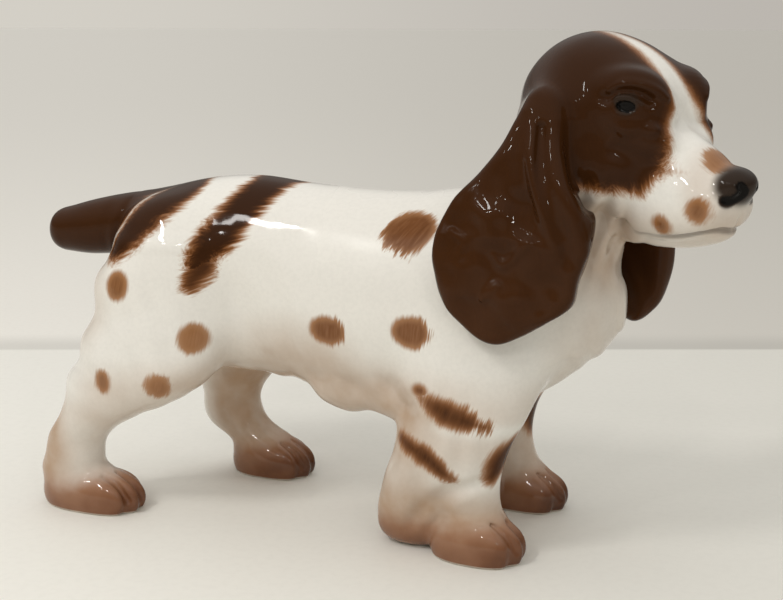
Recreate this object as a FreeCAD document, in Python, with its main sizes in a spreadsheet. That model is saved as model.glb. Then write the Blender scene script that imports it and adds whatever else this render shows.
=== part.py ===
"""A standing spaniel figurine in glazed porcelain, luted together from nine slip-cast pieces.

Frame: +X the way the body faces, +Y the dog's left, +Z up, the origin on the table under the middle of the
figurine's bounding box. Millimetres.

The caster pours nine pieces: a hollow torso with the neck on it, a hollow head, two ears, four solid legs and a
docked tail. Each smaller piece is trimmed to the curve of the piece it sits on and stuck there with slip, which
is why a seam here is always the outer surface of the larger piece. Nothing on the figurine moves.
"""

import os

import FreeCAD, Part
import Sketcher

doc = FreeCAD.newDocument("SpanielFigurine")
sheet = doc.addObject("Spreadsheet::Sheet", "Dims")
sheet_rows = []


def cell(alias, value):
    """Keeps one driving dimension in the sheet and returns the words by which an expression calls it."""
    sheet_rows.append(alias)
    row = len(sheet_rows)
    sheet.set(f"A{row}", alias)
    sheet.set(f"B{row}", str(value))
    sheet.setAlias(f"B{row}", alias)
    return f"Dims.{alias}"


# --- driving dimensions -----------------------------------------------------------------------------------------
WALL_THICKNESS = 3.5
SMALLEST_HOLLOW = 9.0
WALL = cell("wall", WALL_THICKNESS)
FORE_RIGHT_PLACE = (cell("fore_right_x", 33.5), cell("fore_right_y", -19.0), None)
FORE_LEFT_PLACE = (cell("fore_left_x", 36.5), cell("fore_left_y", 22.0), None)
HIND_RIGHT_PLACE = (cell("hind_right_x", -84.5), cell("hind_right_y", -19.5), None)
HIND_LEFT_PLACE = (cell("hind_left_x", -46.0), cell("hind_left_y", 23.5), None)
HEAD_PLACE = (cell("head_x", 61.5), cell("head_y", -5.0), cell("head_z", 118.0))
HEAD_TURN = cell("head_turn", -30.0)
HEAD_NOD = cell("head_nod", 3.0)
EAR_RIGHT_PLACE = (cell("ear_right_x", 42.0), cell("ear_right_y", -31.0), cell("ear_right_z", 121.0))
EAR_RIGHT_TURN = cell("ear_right_turn", -18.0)
EAR_LEFT_PLACE = (cell("ear_left_x", 63.0), cell("ear_left_y", 18.5), cell("ear_left_z", 120.0))
EAR_LEFT_TURN = cell("ear_left_turn", -35.0)
VENT_X = cell("vent_x", -20.0)
VENT_RADIUS = cell("vent_radius", 2.0)
VENT_REACH = cell("vent_reach", 60.0)
CENTRE_X = cell("centre_x", 0.0)
CENTRE_Y = cell("centre_y", 0.0)

# --- sections ---------------------------------------------------------------------------------------------------
# Each outline is a list of ellipses: (station, centre across, centre up, half-width, half-height). The station is
# the distance along the outline's own axis, and the other four lie in the section.

# Torso, along +X from the rump to the chest: a level back, a tucked-up belly and a deep brisket.
TORSO = [
    (-79.0, 0, 75.5, 6.5, 10.0),
    (-77.0, 0, 73.5, 12.0, 15.0),
    (-72.0, 0, 71.0, 18.5, 20.5),
    (-64.0, 0, 69.7, 22.2, 24.8),
    (-52.0, 0, 69.5, 23.5, 27.5),
    (-38.0, 0, 69.5, 21.5, 28.5),
    (-24.0, 0, 67.5, 21.5, 29.0),
    (-8.0, 0, 65.0, 23.5, 30.5),
    (10.0, 0, 64.5, 25.0, 31.0),
    (26.0, 0, 66.5, 25.5, 30.5),
    (42.0, 0, 66.5, 23.0, 25.8),
    (54.0, 0, 67.0, 17.0, 18.2),
    (61.0, 0, 67.0, 10.0, 11.0),
    (64.0, 0, 67.0, 4.5, 5.0),
]
# Neck, along +Z from inside the chest up into the skull, leaning forwards.
NECK = [
    (66.0, 38.0, 0.0, 25.0, 23.0),
    (76.0, 41.0, -0.3, 23.0, 20.5),
    (86.0, 44.5, -1.0, 20.5, 18.0),
    (96.0, 48.5, -2.0, 18.0, 16.0),
    (104.0, 51.5, -3.0, 16.0, 14.5),
    (109.0, 53.0, -3.5, 14.0, 12.5),
]
# Head, along its own +X from the back of the skull to the nose.
HEAD = [
    (-27.0, 0, 1.0, 5.0, 6.0),
    (-24.5, 0, 1.0, 10.5, 11.5),
    (-17.0, 0, 1.0, 16.5, 17.0),
    (-8.0, 0, 0.7, 19.3, 19.8),
    (2.0, 0, -0.5, 19.8, 20.5),
    (12.0, 0, -3.5, 18.0, 20.5),
    (20.0, 0, -8.0, 15.8, 19.0),
    (28.0, 0, -13.7, 13.4, 15.8),
    (36.0, 0, -16.8, 12.0, 12.7),
    (41.0, 0, -17.8, 9.2, 10.0),
    (44.0, 0, -18.0, 4.8, 6.0),
]
# Right ear, along +Z from the tip of the lobe up to the root, flat and wide, in the ear's own frame. Its lobe
# stands out over the shoulder.
EAR_RIGHT = [
    (-58.0, -3.0, 0.5, 5.0, 2.4),
    (-55.0, -2.5, 0.2, 9.5, 4.0),
    (-49.0, -1.5, 0.0, 14.5, 5.6),
    (-41.0, -0.5, 0.0, 17.8, 6.4),
    (-31.0, 0.5, 0.3, 18.6, 6.6),
    (-21.0, 2.0, 3.0, 15.5, 6.4),
    (-11.0, 4.5, 7.0, 12.0, 6.0),
    (-1.0, 7.0, 11.0, 9.0, 5.4),
    (3.0, 8.0, 12.5, 5.0, 3.4),
]
# Left ear, the same way up, but it hangs straight down beside the throat.
EAR_LEFT = [
    (-58.0, 1.5, -0.5, 5.0, 2.4),
    (-55.0, 1.0, -0.3, 9.0, 4.0),
    (-49.0, 0.5, 0.0, 13.0, 5.4),
    (-41.0, 0.0, 0.0, 16.0, 6.2),
    (-31.0, 0.0, 0.0, 17.0, 6.4),
    (-21.0, 1.0, 0.4, 15.0, 6.2),
    (-11.0, 2.5, 0.8, 12.0, 5.8),
    (-1.0, 4.0, 1.2, 9.0, 5.2),
    (3.0, 4.5, 1.4, 5.0, 3.2),
]
# Fore leg, along +Z from the sole up into the shoulder. The paw's centre is at x = 0.
FORE_LEG = [
    (0.0, 0.0, 0.0, 11.0, 8.5),
    (3.0, 0.5, 0.0, 12.5, 10.0),
    (8.0, -0.5, 0.0, 12.0, 9.6),
    (14.0, -3.5, 0.2, 10.2, 8.4),
    (21.0, -6.0, 0.4, 10.3, 8.0),
    (31.0, -7.0, 1.0, 13.0, 8.8),
    (41.0, -6.0, 2.0, 16.0, 9.6),
    (52.0, -5.0, 4.5, 16.0, 9.0),
    (62.0, -4.5, 8.5, 12.0, 8.0),
]
# The long hair behind a fore leg, cast with it: a curtain from the elbow to a heel on the table.
FORE_FEATHER = [
    (0.0, -19.5, 0.5, 8.0, 5.5),
    (4.0, -19.2, 0.5, 10.0, 6.6),
    (12.0, -17.5, 0.6, 10.6, 6.8),
    (25.0, -15.5, 0.8, 10.4, 7.0),
    (38.0, -14.0, 1.8, 10.2, 7.6),
    (47.0, -12.0, 4.5, 9.0, 7.0),
    (56.0, -10.0, 9.0, 7.5, 6.0),
]
# The right hind leg is set back, with the hock upright and a heavy thigh.
HIND_LEG_BACK = [
    (0.0, 0.5, 0.0, 15.0, 8.2),
    (4.0, 0.0, 0.0, 17.0, 9.6),
    (9.0, -1.5, 0.0, 15.8, 9.4),
    (15.0, -5.0, 0.0, 11.0, 8.0),
    (21.0, -4.0, 0.3, 9.4, 7.4),
    (27.0, 1.0, 0.6, 11.2, 7.6),
    (34.0, 8.5, 1.5, 16.5, 9.0),
    (43.0, 17.5, 3.5, 21.0, 11.0),
    (54.0, 21.0, 5.5, 20.0, 11.4),
    (66.0, 22.0, 8.0, 17.0, 10.0),
    (76.0, 23.0, 11.0, 12.0, 8.0),
]
# The left hind leg is brought forward under the belly.
HIND_LEG_FRONT = [
    (0.0, 0.0, 0.0, 12.0, 8.2),
    (4.0, 0.3, 0.0, 14.0, 9.6),
    (9.0, -1.5, 0.0, 13.0, 9.0),
    (14.0, -9.0, 0.2, 10.2, 8.0),
    (20.0, -13.5, 0.5, 9.6, 7.4),
    (27.0, -14.0, 1.0, 10.0, 7.6),
    (34.0, -11.0, 2.0, 12.2, 9.0),
    (44.0, -8.0, 3.5, 16.0, 11.0),
    (56.0, -8.0, 5.0, 18.0, 11.4),
    (68.0, -9.0, 7.0, 16.0, 10.0),
    (76.0, -10.0, 9.5, 12.0, 8.0),
]
# Docked tail, along -X from inside the rump to a blunt tip.
TAIL = [
    (-64.0, 0, 84.0, 8.8, 9.2),
    (-74.0, 0, 83.0, 8.8, 9.0),
    (-84.0, 0, 81.8, 8.3, 8.8),
    (-94.0, 0, 80.3, 7.4, 7.8),
    (-102.0, 0, 79.5, 6.4, 6.8),
    (-106.5, 0, 79.1, 4.6, 5.0),
    (-108.5, 0, 79.0, 2.0, 2.3),
]


def origin_plane(body, role):
    """One of a body's own origin planes, found by its role."""
    return next(f for f in body.Origin.OriginFeatures if f.Role == role)


def ellipse_sketch(body, role, name, half_axes, words):
    """A sketch of one ellipse, on a plane parallel to an origin plane.

    `half_axes` are its plain half-width and half-height, which say which way it lies. `words` are the expressions
    of its station, its centre's two coordinates, its half-width and its half-height.
    """
    width, height = half_axes
    sketch = body.newObject("Sketcher::SketchObject", name)
    sketch.AttachmentSupport = (origin_plane(body, role), "")
    sketch.MapMode = "FlatFace"
    lies_flat = width >= height
    centre = FreeCAD.Vector(0, 0, 0)
    if lies_flat:
        ends = (FreeCAD.Vector(width, 0, 0), FreeCAD.Vector(0, height, 0))
        longer, shorter = words[3], words[4]
    else:
        ends = (FreeCAD.Vector(0, height, 0), FreeCAD.Vector(-width, 0, 0))
        longer, shorter = words[4], words[3]
    sketch.addGeometry(Part.Ellipse(*ends, centre), False)
    sketch.exposeInternalGeometry(0)
    sketch.addConstraint(Sketcher.Constraint("Coincident", 0, 3, -1, 1))
    sketch.addConstraint(Sketcher.Constraint("Horizontal" if lies_flat else "Vertical", 1))
    major = sketch.addConstraint(Sketcher.Constraint("Distance", 1, 2 * max(width, height)))
    minor = sketch.addConstraint(Sketcher.Constraint("Distance", 2, 2 * min(width, height)))
    sketch.setExpression(f"Constraints[{major}]", f"2 * ({longer})")
    sketch.setExpression(f"Constraints[{minor}]", f"2 * ({shorter})")
    sketch.setExpression("AttachmentOffset.Base.z", words[0])
    sketch.setExpression("AttachmentOffset.Base.x", words[1])
    sketch.setExpression("AttachmentOffset.Base.y", words[2])
    return sketch


KEYS = ("at", "across", "up", "wide", "high")


def keep_sections(piece, outline):
    """Puts an outline's numbers in the sheet, one cell each, named piece_key_number."""
    return [
        [cell(f"{piece}_{key}_{number}", value) for key, value in zip(KEYS, row)]
        for number, row in enumerate(outline)
    ]


def loft(name, role, outline, words, side=1, hollow=False):
    """A body lofted through an outline's ellipses.

    With `side` at -1 it is the mirror image, left for right. A hollow is a wall's thickness in from every ellipse,
    and it leaves out the sections too small to hold one.
    """
    body = doc.addObject("PartDesign::Body", name)
    sketches = []
    for number, (row, cells) in enumerate(zip(outline, words)):
        half_axes, cells = list(row[3:]), list(cells)
        if side < 0:
            cells[2] = f"-1 * {cells[2]}"
        if hollow:
            if min(half_axes) < SMALLEST_HOLLOW:
                continue
            half_axes = [half - WALL_THICKNESS for half in half_axes]
            cells[3:] = [f"{half} - {WALL}" for half in cells[3:]]
        sketches.append(ellipse_sketch(body, role, f"{name}_section_{number}", half_axes, cells))
    skin = body.newObject("PartDesign::AdditiveLoft", f"{name}_skin")
    skin.Profile = sketches[0]
    skin.Sections = sketches[1:]
    body.Tip = skin
    return body


def place(body, where, turn=None, nod=None):
    """Puts a body at three expressions, turned about the vertical after a nod about its side-to-side axis."""
    for axis, words in zip("xyz", where):
        if words is not None:
            body.setExpression(f"Placement.Base.{axis}", words)
    if turn is not None:
        turned = f"create(<<rotation>>; create(<<vector>>; 0; 0; 1); {turn})"
        nodded = f"create(<<rotation>>; create(<<vector>>; 0; 1; 0); {nod or 0})"
        body.setExpression("Placement.Rotation", f"{turned} * {nodded}")
    return body


def join(name, *pieces):
    """Pieces fused into one solid, with the edges between coplanar faces cleaned off."""
    fused = doc.addObject("Part::MultiFuse", name)
    fused.Shapes = list(pieces)
    fused.Refine = True
    return fused


def trim(name, base, *tools):
    """What is left of `base` outside every tool."""
    for number, tool in enumerate(tools, start=1):
        last = number == len(tools)
        cut = doc.addObject("Part::Cut", name if last else f"{name}_trim_{number}")
        cut.Base = base
        cut.Tool = tool
        base = cut
    return base


def hollow_torso():
    """The torso and neck shell. A vent in the belly lets the gas out while it is fired."""
    trunk_words = keep_sections("trunk", TORSO)
    neck_words = keep_sections("neck", NECK)
    outside = join(
        "torso_outside",
        loft("trunk", "YZ_Plane", TORSO, trunk_words),
        loft("neck", "XY_Plane", NECK, neck_words),
    )
    inside = join(
        "torso_inside",
        loft("trunk_inside", "YZ_Plane", TORSO, trunk_words, hollow=True),
        loft("neck_inside", "XY_Plane", NECK, neck_words, hollow=True),
    )
    vent = doc.addObject("Part::Cylinder", "vent")
    vent.setExpression("Radius", VENT_RADIUS)
    vent.setExpression("Height", VENT_REACH)
    vent.setExpression("Placement.Base.x", VENT_X)
    return outside, trim("torso", outside, inside, vent)


def hollow_head(torso_outside):
    """The skull and muzzle shell, open underneath where the neck goes in."""
    words = keep_sections("head", HEAD)
    outside = place(loft("head_outside", "YZ_Plane", HEAD, words), HEAD_PLACE, HEAD_TURN, HEAD_NOD)
    inside = place(loft("head_inside", "YZ_Plane", HEAD, words, hollow=True), HEAD_PLACE, HEAD_TURN, HEAD_NOD)
    return outside, trim("head", outside, inside, torso_outside)


def ear(name, outline, where, turn, *tools):
    """One solid ear, trimmed to the skull, the neck and the shoulder that it lies on."""
    leather = place(loft(f"{name}_whole", "XY_Plane", outline, keep_sections(name, outline)), where, turn)
    return trim(name, leather, *tools)


def fore_leg(name, side, where, words, torso_outside):
    """One solid fore leg with its feather, its sole flat on the table. `side` is -1 on the left."""
    column = loft(f"{name}_column", "XY_Plane", FORE_LEG, words["column"], side)
    feather = loft(f"{name}_feather", "XY_Plane", FORE_FEATHER, words["feather"], side)
    whole = join(f"{name}_whole", place(column, where), place(feather, where))
    return trim(name, whole, torso_outside)


def hind_leg(name, side, where, outline, torso_outside):
    """One solid hind leg with its thigh. `side` is -1 on the left."""
    whole = loft(f"{name}_whole", "XY_Plane", outline, keep_sections(name, outline), side)
    return trim(name, place(whole, where), torso_outside)


torso_outside, torso = hollow_torso()
head_outside, head = hollow_head(torso_outside)
fore_words = {"column": keep_sections("fore", FORE_LEG), "feather": keep_sections("feather", FORE_FEATHER)}
pieces = {
    "torso": torso,
    "head": head,
    "ear_right": ear("ear_right", EAR_RIGHT, EAR_RIGHT_PLACE, EAR_RIGHT_TURN, head_outside, torso_outside),
    "ear_left": ear("ear_left", EAR_LEFT, EAR_LEFT_PLACE, EAR_LEFT_TURN, head_outside, torso_outside),
    "fore_leg_right": fore_leg("fore_leg_right", 1, FORE_RIGHT_PLACE, fore_words, torso_outside),
    "fore_leg_left": fore_leg("fore_leg_left", -1, FORE_LEFT_PLACE, fore_words, torso_outside),
    "hind_leg_right": hind_leg("hind_leg_right", 1, HIND_RIGHT_PLACE, HIND_LEG_BACK, torso_outside),
    "hind_leg_left": hind_leg("hind_leg_left", -1, HIND_LEFT_PLACE, HIND_LEG_FRONT, torso_outside),
    "tail": trim("tail", loft("tail_whole", "YZ_Plane", TAIL, keep_sections("tail", TAIL)), torso_outside),
}
doc.recompute()

# The origin goes under the middle of the whole figurine, so its bounding box is measured and fed back.
box = FreeCAD.BoundBox()
for piece in pieces.values():
    box.add(piece.Shape.optimalBoundingBox(False, False))
sheet.set("centre_x", str(round(box.Center.x, 3)))
sheet.set("centre_y", str(round(box.Center.y, 3)))
print(f"centre at {box.Center.x:.3f}, {box.Center.y:.3f}; lowest {box.ZMin:.3f}, highest {box.ZMax:.3f}")
for name, piece in pieces.items():
    piece.Label = name
    piece.setExpression("Placement.Base.x", f"-1 * {CENTRE_X}")
    piece.setExpression("Placement.Base.y", f"-1 * {CENTRE_Y}")
doc.recompute()

for item in doc.Objects:
    if {"Invalid", "Error"} & set(item.State):
        raise SystemExit(f"{item.Label} failed: {item.State}")
os.makedirs("parts", exist_ok=True)
for name, piece in pieces.items():
    shape = piece.Shape
    if shape.isNull() or not shape.isValid() or len(shape.Solids) != 1:
        raise SystemExit(f"{name}: {len(shape.Solids)} solids, valid {shape.isValid()}")
    shape.exportStep(f"parts/{name}.step")
    print(f"{name}: {shape.Volume / 1000:.1f} cm3, {len(shape.Faces)} faces")
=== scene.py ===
# %% [markdown]
# # A glazed porcelain spaniel
#
# The real figurine is slip-cast in nine pieces that are luted together with wet slip, so its surface runs from
# one piece to the next without a seam. This notebook models it as one soft body of clay, cuts that body along
# the nine casting joints, and then paints and glazes it.

# %% Load the frame
import math

import bpy
import numpy as np
from mathutils import Matrix, Vector


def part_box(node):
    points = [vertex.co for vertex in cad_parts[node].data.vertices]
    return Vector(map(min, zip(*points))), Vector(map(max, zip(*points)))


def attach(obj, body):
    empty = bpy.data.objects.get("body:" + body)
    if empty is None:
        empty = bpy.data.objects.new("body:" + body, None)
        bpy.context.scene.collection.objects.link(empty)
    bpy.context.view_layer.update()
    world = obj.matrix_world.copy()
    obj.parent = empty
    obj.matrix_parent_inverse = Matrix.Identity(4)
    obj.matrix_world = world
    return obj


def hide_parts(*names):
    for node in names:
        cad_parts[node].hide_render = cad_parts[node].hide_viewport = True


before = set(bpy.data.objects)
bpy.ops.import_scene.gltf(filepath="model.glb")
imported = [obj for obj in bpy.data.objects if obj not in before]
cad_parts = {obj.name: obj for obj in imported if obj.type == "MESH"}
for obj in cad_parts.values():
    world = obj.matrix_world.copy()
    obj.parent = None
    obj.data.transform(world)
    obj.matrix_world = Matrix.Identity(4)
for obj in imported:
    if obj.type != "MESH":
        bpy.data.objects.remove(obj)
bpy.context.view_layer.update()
torso_low, torso_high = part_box("torso")
head_low, head_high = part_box("head")

# %% [markdown]
# ## The modeller's own coordinates
#
# A figurine is modelled in millimetres on a board, so every lump of clay below is given in millimetres from one
# point on the board. That point lies under the middle of the back, 64 mm behind the front of the chest, and the
# packed torso says where it is.

# %% Clay coordinates
MM = 0.001
CHEST_REACH = 64.0
BOARD = np.array([torso_high[0] - CHEST_REACH * MM, (torso_low[1] + torso_high[1]) / 2, 0.0])


def to_metres(clay):
    """Clay millimetres to the frame's metres."""
    return np.asarray(clay) * MM + BOARD


def turned(yaw=0.0, pitch=0.0, roll=0.0):
    """Rotation matrix whose columns are the turned x, y and z axes: roll about x, then pitch, then yaw."""
    yaw, pitch, roll = np.radians([yaw, pitch, roll])
    about_z = [[np.cos(yaw), -np.sin(yaw), 0], [np.sin(yaw), np.cos(yaw), 0], [0, 0, 1]]
    about_y = [[np.cos(pitch), 0, np.sin(pitch)], [0, 1, 0], [-np.sin(pitch), 0, np.cos(pitch)]]
    about_x = [[1, 0, 0], [0, np.cos(roll), -np.sin(roll)], [0, np.sin(roll), np.cos(roll)]]
    return np.array(about_z) @ np.array(about_y) @ np.array(about_x)


# %% [markdown]
# ## How lumps of clay run together
#
# A modeller adds clay and smooths the join with a thumb. Here every shape is a distance: how far a point is from
# the surface, negative inside. The smaller of two distances joins two shapes with a hard crease, so the blend below
# takes a little more away where both are near, which leaves a fillet of a chosen size. Sculpting by hand could do
# the same, but numbers can be repeated and changed one at a time.

# %% Blends
FAR = 60.0


def melt(a, b, soft):
    """Smooth minimum: the two distances, less a fillet of about `soft` where they are near each other."""
    if np.isscalar(soft) and soft <= 0:
        return np.minimum(a, b)
    h = np.clip(0.5 + 0.5 * (a - b) / soft, 0, 1)
    return a + (b - a) * h - soft * h * (1 - h)


def carve(a, b, soft):
    """Smooth maximum of a and minus b: the first shape with the second cut out of it."""
    return -melt(-a, b, soft)


# %% [markdown]
# ## Lumps, rolls and worms
#
# Three kinds of clay are enough: a ball (an ellipsoid), a roll whose section changes along its length, as a leg or a
# back does, and a worm of clay that follows a line, for an eyelid or a fold. Subdivision surfaces could carry these
# shapes too, but a figurine has no edges to build them on, and details that are pressed in are easier to take away
# from a distance than from a cage of faces.

# %% Lumps
class Lump:
    """One lump of clay, or one cut of a loop tool: its distance function, its box and its fillet."""

    def __init__(self, distance, low, high):
        self.distance = distance
        self.low = np.asarray(low, float)
        self.high = np.asarray(high, float)
        self.soft = 4.0
        self.cut = False

    def add(self, soft):
        self.soft = soft
        return self

    def away(self, soft):
        self.soft, self.cut = soft, True
        return self


def ball(centre, radii, turn=(0, 0, 0)):
    """An ellipsoid. With q in its own axes, k = |q/r| and l = |q/r/r|, its distance is k(k - 1)/l."""
    centre, radii = np.array(centre, float), np.array(radii, float)
    axes = turned(*turn)
    reach = np.sqrt(((axes * radii) ** 2).sum(1))

    def distance(points):
        q = (points - centre) @ axes / radii
        k = np.sqrt((q**2).sum(1))
        return k * (k - 1) / np.maximum(np.sqrt(((q / radii) ** 2).sum(1)), 1e-6)

    return Lump(distance, centre - reach, centre + reach)


def smooth_rows(rows, at):
    """Cubic Hermite curve through rows of (station, values...), its slopes from the neighbouring rows."""
    station, values = rows[:, 0], rows[:, 1:]
    slope = np.gradient(values, station, axis=0)
    at = np.clip(at, station[0], station[-1])
    i = np.clip(np.searchsorted(station, at) - 1, 0, len(station) - 2)
    gap = (station[i + 1] - station[i])[:, None]
    u = (at - station[i])[:, None] / gap
    return (
        (2 * u**3 - 3 * u**2 + 1) * values[i]
        + (u**3 - 2 * u**2 + u) * gap * slope[i]
        + (3 * u**2 - 2 * u**3) * values[i + 1]
        + (u**3 - u**2) * gap * slope[i + 1]
    )


def roll_out(axis, rows, round_off=4.0):
    """A body whose section is an ellipse that changes along x or z.

    Rows are (station, across, up, half-width, half-height), joined by a cubic. The ends are rounded off by
    melting the side's distance into the end planes'.
    """
    rows = np.array(sorted(rows), float)
    along, across, up = {"x": (0, 1, 2), "z": (2, 0, 1)}[axis]
    low, high = np.zeros(3), np.zeros(3)
    low[along], high[along] = rows[0, 0], rows[-1, 0]
    low[across], high[across] = (rows[:, 1] - rows[:, 3]).min(), (rows[:, 1] + rows[:, 3]).max()
    low[up], high[up] = (rows[:, 2] - rows[:, 4]).min(), (rows[:, 2] + rows[:, 4]).max()

    def distance(points):
        v = smooth_rows(rows, points[:, along])
        q = np.stack([(points[:, across] - v[:, 0]) / v[:, 2], (points[:, up] - v[:, 1]) / v[:, 3]], 1)
        k = np.sqrt((q**2).sum(1))
        side = k * (k - 1) / np.maximum(np.sqrt(((q / v[:, 2:]) ** 2).sum(1)), 1e-6)
        end = np.maximum(rows[0, 0] - points[:, along], points[:, along] - rows[-1, 0])
        return -melt(-side, -end, round_off)

    return Lump(distance, low - 1, high + 1)


def cord_points(path, pieces=10):
    """A smooth path through a few points of (x, y, z, radius), cut into short straight pieces."""
    path = np.array(path, float)
    if len(path) == 2:
        return path
    rows = np.column_stack([np.arange(len(path)), path])
    return smooth_rows(rows, np.linspace(0, len(path) - 1, pieces * (len(path) - 1) + 1))


def worm(path, flat=(1, 1, 1), pieces=6):
    """A rolled worm of clay along a smooth path of (x, y, z, radius): the least distance to its short pieces.

    `flat` stretches space before the distance is taken, so 1.4 in y makes the section 1.4 times thinner in y.
    """
    flat = np.array(flat, float)
    knots = cord_points(path, pieces)
    low = (knots[:, :3] - knots[:, 3:]).min(0)
    high = (knots[:, :3] + knots[:, 3:]).max(0)
    start, radius = knots[:-1, :3] * flat, knots[:, 3]
    step = knots[1:, :3] * flat - start

    def distance(points):
        points = points * flat
        least = np.full(len(points), FAR)
        for a, d, r0, r1 in zip(start, step, radius[:-1], radius[1:]):
            t = np.clip(((points - a) @ d) / (d @ d), 0, 1)
            gap = points - a - t[:, None] * d
            least = np.minimum(least, np.sqrt((gap**2).sum(1)) - (r0 + t * (r1 - r0)))
        return least

    return Lump(distance, low, high)


def mirrored(lump):
    """The same lump on the other side of the animal."""
    low, high = lump.low * (1, -1, 1), lump.high * (1, -1, 1)
    other = Lump(lambda points: lump.distance(points * (1, -1, 1)), np.minimum(low, high), np.maximum(low, high))
    other.soft, other.cut = lump.soft, lump.cut
    return other


def both(*lumps):
    return [made for lump in lumps for made in (lump, mirrored(lump))]


# %% [markdown]
# ## One cast at a time
#
# The figurine is slip-cast in nine pieces, and each is a list of lumps, added or pressed in one after another. Only
# the lumps near a point are worked out there, since that keeps millions of points quick.

# %% Casts
class Cast:
    """One casting: its lumps, in the order they are added, in its own turned axes."""

    def __init__(self, node, lumps, at=(0, 0, 0), turn=(0, 0, 0), soft=4.0):
        self.node, self.lumps, self.soft = node, lumps, soft
        self.at, self.axes = np.array(at, float), turned(*turn)
        corners = np.array([[x, y, z] for low, high in [self.reach()] for x in (low[0], high[0])
                            for y in (low[1], high[1]) for z in (low[2], high[2])])
        corners = corners @ self.axes.T + self.at
        self.low, self.high = corners.min(0) - MARGIN, corners.max(0) + MARGIN

    def reach(self):
        solid = [lump for lump in self.lumps if not lump.cut]
        return np.min([lump.low for lump in solid], 0), np.max([lump.high for lump in solid], 0)

    def own(self, points):
        return (points - self.at) @ self.axes

    def distance(self, points):
        value = np.full(len(points), FAR)
        near = inside(points, self.low, self.high)
        if not near.any():
            return value
        own = self.own(points[near])
        clay = np.full(len(own), FAR)
        for lump in self.lumps:
            spot = inside(own, lump.low - MARGIN, lump.high + MARGIN)
            if spot.any():
                shape = lump.distance(own[spot])
                join = carve if lump.cut else melt
                clay[spot] = join(clay[spot], shape, lump.soft)
        value[near] = clay
        return value


MARGIN = 17.0


def inside(points, low, high):
    return ((points > low) & (points < high)).all(1)


# %% [markdown]
# ## Torso and neck
#
# The trunk is a roll along the back, from the rump to the chest, and the neck is a second roll that stands on it.
# Shoulders, haunches and the lumps of belly coat are balls laid on with a wide blend, so that they show as soft
# swellings under the glaze.

# %% Torso
TORSO = [
    (-80.0, 0, 76.0, 6.0, 8.0),
    (-77.0, 0, 74.5, 12.0, 14.5),
    (-72.0, 0, 72.5, 17.5, 19.0),
    (-64.0, 0, 70.7, 21.0, 23.6),
    (-52.0, 0, 69.5, 22.5, 27.5),
    (-38.0, 0, 69.5, 21.0, 28.5),
    (-24.0, 0, 68.0, 21.5, 28.6),
    (-8.0, 0, 65.3, 23.5, 30.2),
    (10.0, 0, 64.5, 24.5, 31.0),
    (26.0, 0, 66.5, 24.0, 30.5),
    (42.0, 0, 66.5, 20.5, 25.8),
    (54.0, 0, 67.0, 14.5, 18.2),
    (61.0, 0, 67.0, 8.5, 11.0),
    (65.0, 0, 67.0, 4.0, 5.0),
]
NECK = [
    (58.0, 36.0, 0.0, 25.0, 21.0),
    (66.0, 39.0, 0.0, 24.5, 20.0),
    (76.0, 42.5, -0.3, 22.0, 18.0),
    (86.0, 46.0, -1.2, 19.5, 16.4),
    (96.0, 50.0, -2.4, 17.6, 15.4),
    (104.0, 53.0, -3.4, 16.5, 14.8),
    (114.0, 56.0, -4.5, 15.5, 14.0),
]
torso = Cast("torso", [
    roll_out("x", TORSO, 3.0).add(0),
    roll_out("z", NECK, 3.0).add(9),
    *both(
        ball((30, 15, 60), (17, 9, 22), (0, 8, 0)).add(8),
        ball((-62, 12, 78), (14, 10.5, 13), (0, 20, 0)).add(7),
    ),
    ball((-9, -9, 42), (9.5, 8, 7.6), (0, 15, 0)).add(3),
    ball((6, -11, 42), (11, 8, 7.5), (0, 0, 0)).add(4),
    ball((-38, -27, 60), (11, 6, 15), (0, 10, 0)).away(9),
])

# %% [markdown]
# ## Legs and paws
#
# A leg is an upright roll. The fore legs carry long hair at the back, called the feather, which a modeller lays on as
# a second roll with one drawn line between it and the leg. A paw is a pad with four toes; three worms pressed in
# between the toes make the grooves. The soles are cut flat, because a fired figurine is ground to stand level.

# %% Legs
FORE_RIGHT = [
    (6.0, 0.0, 0.4, 9.0, 6.6),
    (10.0, -1.5, 0.6, 8.6, 6.2),
    (15.0, -3.2, 0.3, 8.6, 6.3),
    (21.0, -4.8, -0.5, 10.0, 7.2),
    (31.0, -5.4, -1.2, 13.0, 8.8),
    (41.0, -4.0, -0.5, 16.0, 9.6),
    (52.0, -3.0, 2.5, 17.0, 10.0),
    (64.0, -2.5, 6.5, 15.0, 9.0),
]
FORE_LEFT = [
    (6.0, 0.0, 0.0, 8.8, 7.6),
    (10.0, -2.0, 0.0, 8.0, 7.2),
    (15.0, -4.2, 0.2, 7.2, 7.0),
    (21.0, -6.0, 0.4, 7.4, 7.0),
    (31.0, -7.0, 1.0, 9.5, 8.0),
    (41.0, -6.0, 2.5, 13.0, 9.0),
    (52.0, -5.5, 5.5, 14.0, 10.0),
    (64.0, -5.0, 9.5, 13.0, 9.0),
]
FEATHER = [
    (0.0, -19.8, 4.6, 7.2, 4.6),
    (3.0, -19.6, 4.2, 9.8, 6.2),
    (9.0, -19.0, 3.2, 11.0, 7.2),
    (17.0, -17.0, 1.6, 11.2, 7.8),
    (27.0, -14.4, 0.2, 10.6, 8.2),
    (36.0, -12.2, 0.4, 10.2, 7.8),
    (46.0, -8.5, 3.5, 8.0, 5.0),
    (54.0, -6.0, 5.5, 4.0, 2.5),
]
FOLD = [
    (5, -7.4, 25, 0.5), (-2, -7.8, 22, 1.3), (-8, -7.6, 18.5, 1.8), (-13, -7.0, 14.5, 1.8), (-17, -5.6, 10, 1.5),
    (-20, -4.8, 6, 0.5),
]
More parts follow.
